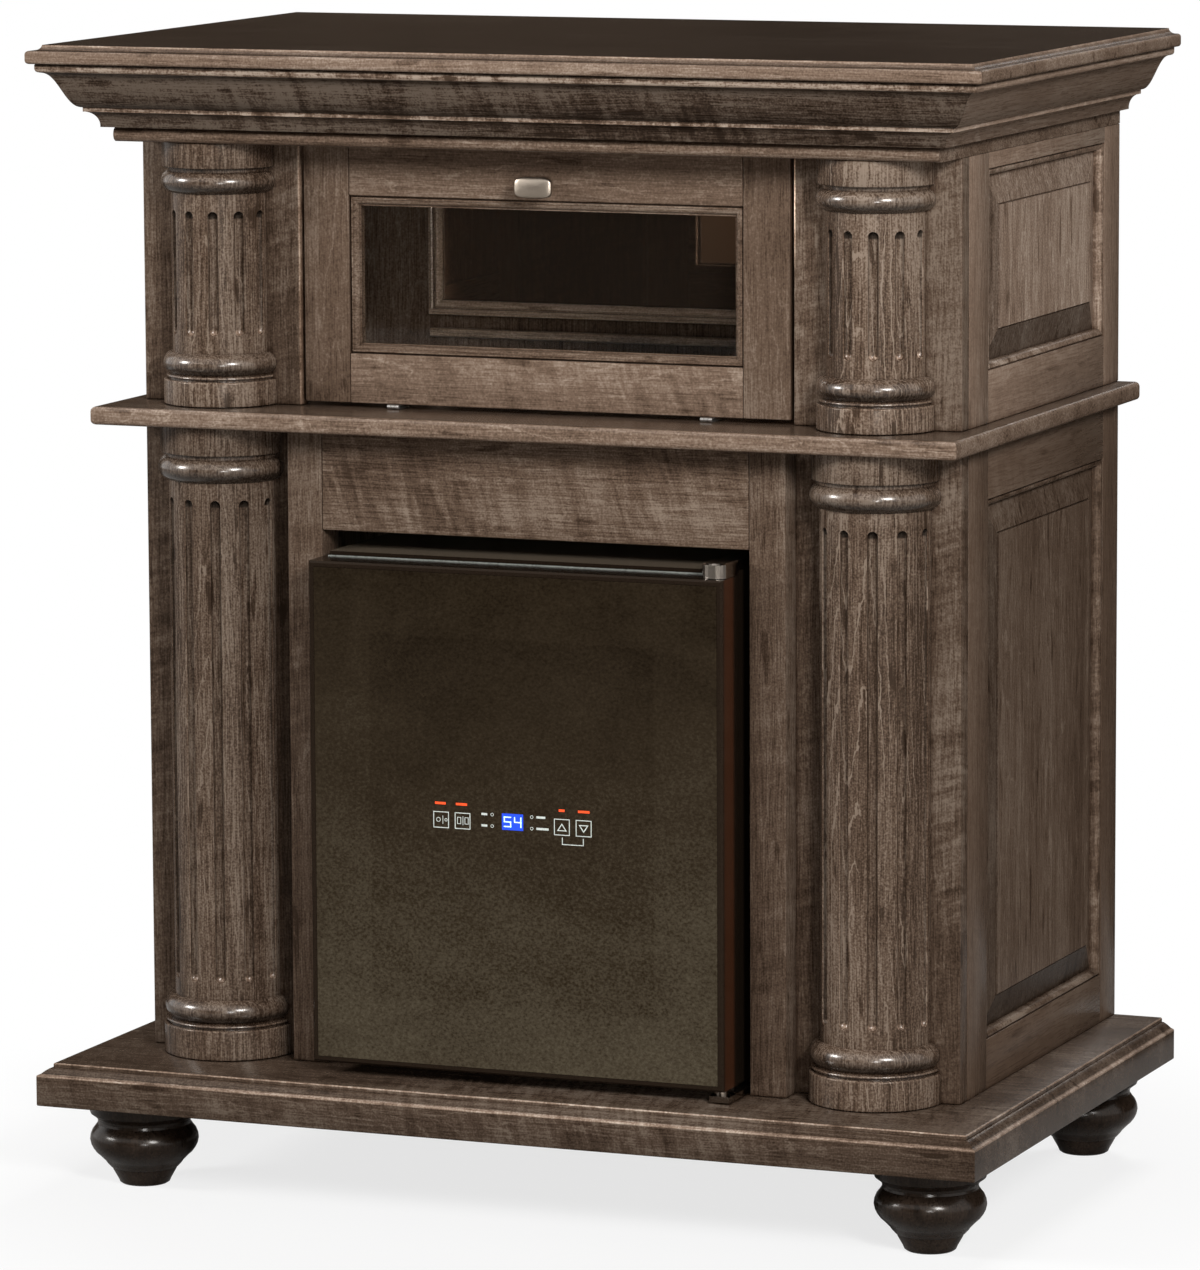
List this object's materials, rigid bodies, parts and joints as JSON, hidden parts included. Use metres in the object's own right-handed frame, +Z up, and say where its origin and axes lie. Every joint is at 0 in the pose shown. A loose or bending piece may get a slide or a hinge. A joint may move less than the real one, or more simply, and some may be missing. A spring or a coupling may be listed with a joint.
{
  "type": "wine cabinet",
  "caption": "Free-standing wine cabinet with split fluted columns, a drop-front glazed cupboard above and a mirror-door bottle cooler built in below.",
  "frame": {"origin": "on the floor, below the middle of the overall box", "axes": "+Z up, -Y towards the front, +X to the right seen from the front"},
  "size_m": [1.006, 0.635, 1.165],
  "materials": {
    "case_wood": "stained maple, satin lacquer",
    "column_wood": "stained maple, satin lacquer",
    "board_wood": "dark stained maple, satin lacquer",
    "foot_wood": "dark stained maple, gloss lacquer",
    "door_wood": "stained maple, satin lacquer",
    "clear_glass": "clear, polished",
    "back_mirror": "silvered, polished",
    "knob_metal": "satin pewter",
    "hinge_metal": "bright plated",
    "cooler_case": "black, satin",
    "cooler_liner": "grey, satin",
    "rack_wire": "plated wire",
    "cooler_door": "dark brown-black, gloss",
    "door_mirror": "dark half-mirror, polished",
    "gasket": "black, matt",
    "cooler_hinge": "black, satin",
    "heat_sink": "plain",
    "fan": "black, matt"
  },
  "bodies": {
    "case": {"soffit_board": "case_wood", "crown_front": "case_wood", "crown_left": "case_wood", "crown_right": "case_wood", "waist_shelf": "case_wood", "pilaster_lower_left": "case_wood", "pilaster_lower_right": "case_wood", "pilaster_upper_left": "case_wood", "pilaster_upper_right": "case_wood", "face_stile_left": "case_wood", "face_stile_right": "case_wood", "face_rail": "case_wood", "side_frame_lower_left": "case_wood", "side_frame_lower_right": "case_wood", "side_frame_upper_left": "case_wood", "side_frame_upper_right": "case_wood", "side_panel_lower_left": "case_wood", "side_panel_lower_right": "case_wood", "side_panel_upper_left": "case_wood", "side_panel_upper_right": "case_wood", "back_lower": "case_wood", "back_upper": "case_wood", "back_mirror_frame": "case_wood", "stemware_rack": "case_wood", "column_lower_left": "column_wood", "column_lower_right": "column_wood", "column_upper_left": "column_wood", "column_upper_right": "column_wood", "top_board": "board_wood", "base_board": "board_wood", "foot_front_left": "foot_wood", "foot_front_right": "foot_wood", "foot_back_left": "foot_wood", "foot_back_right": "foot_wood", "back_mirror": "back_mirror", "hinge_base_left": "hinge_metal", "hinge_base_right": "hinge_metal", "cooler_housing": "cooler_case", "cooler_liner": "cooler_liner", "cooler_rack_1": "rack_wire", "cooler_rack_2": "rack_wire", "cooler_rack_3": "rack_wire", "cooler_hinge_top": "cooler_hinge", "cooler_hinge_bottom": "cooler_hinge", "heat_sink": "heat_sink", "fan_frame": "fan"},
    "drop_door": {"door_stile_left": "door_wood", "door_stile_right": "door_wood", "door_rail_bottom": "door_wood", "door_rail_top": "door_wood", "door_bead": "door_wood", "door_stop": "door_wood", "door_glass": "clear_glass", "door_knob": "knob_metal", "hinge_leaf_left": "hinge_metal", "hinge_leaf_right": "hinge_metal"},
    "cooler_door": {"cooler_door_frame": "cooler_door", "cooler_door_mirror": "door_mirror", "cooler_door_gasket": "gasket"},
    "fan_rotor": {"fan_rotor": "fan"}
  },
  "joints": [
    {"name": "drop_door_hinge", "type": "hinge", "parent": "case", "child": "drop_door", "pos_m": [0, -0.178, 0.8026], "axis": [1, 0, 0], "range_deg": [0, 90]},
    {"name": "cooler_door_hinge", "type": "hinge", "parent": "case", "child": "cooler_door", "pos_m": [0.211, -0.238, 0.147], "axis": [0, 0, 1], "range_deg": [0, 110]},
    {"name": "fan_spin", "type": "hinge", "parent": "case", "child": "fan_rotor", "pos_m": [0, 0.225, 0.4], "axis": [0, 1, 0], "continuous": true}
  ]
}
